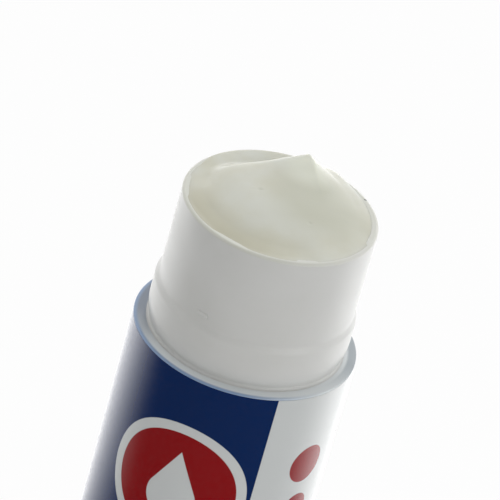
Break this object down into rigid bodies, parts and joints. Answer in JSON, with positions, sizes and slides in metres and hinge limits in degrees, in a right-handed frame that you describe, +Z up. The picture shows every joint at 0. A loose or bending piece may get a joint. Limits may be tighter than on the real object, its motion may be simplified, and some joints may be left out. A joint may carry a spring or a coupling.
{
  "type": "glue stick",
  "caption": "Twist-up glue stick, uncapped: labelled barrel, white neck, paste column on a screw-driven carriage, fluted twist base, and its cap standing beside it.",
  "frame": {"origin": "centre of the foot that the stick stands on, on the stick's axis", "axes": "+Z up the stick's axis from the twist base to the neck, -Y out of the label's front, +X towards the cap that stands beside it"},
  "size_m": [0.06, 0.026, 0.0897],
  "materials": {
    "barrel_plastic": "pale blue-grey moulded polypropylene, satin",
    "label_film": "glossy printed film in navy, red and white",
    "neck_plastic": "white moulded polypropylene, semi-gloss",
    "coloured_plastic": "navy moulded polypropylene, satin, fluted",
    "natural_plastic": "undyed moulded polypropylene",
    "glue_paste": "moist ivory paste"
  },
  "bodies": {
    "barrel_body": {"barrel": "barrel_plastic", "label": "label_film", "inner_tube": "neck_plastic"},
    "knob_body": {"knob": "coloured_plastic", "spindle": "natural_plastic"},
    "carriage_body": {"carriage": "natural_plastic", "glue": "glue_paste"},
    "cap_body": {"cap": "coloured_plastic"}
  },
  "joints": [
    {"name": "knob_turn", "type": "hinge", "parent": "barrel_body", "child": "knob_body", "pos_m": [0, 0, 0], "axis": [0, 0, 1], "range_deg": [0, 3240]},
    {"name": "carriage_slide", "type": "slide", "parent": "barrel_body", "child": "carriage_body", "axis": [0, 0, 1], "range_m": [0, 0.054]},
    {"name": "cap_lift", "type": "slide", "parent": "barrel_body", "child": "cap_body", "axis": [0, 0, 1], "range_m": [0, 0.06]}
  ],
  "couplings": [
    {"joint": "knob_turn", "follows": "carriage_slide", "rad_per_m": 1047.2}
  ]
}
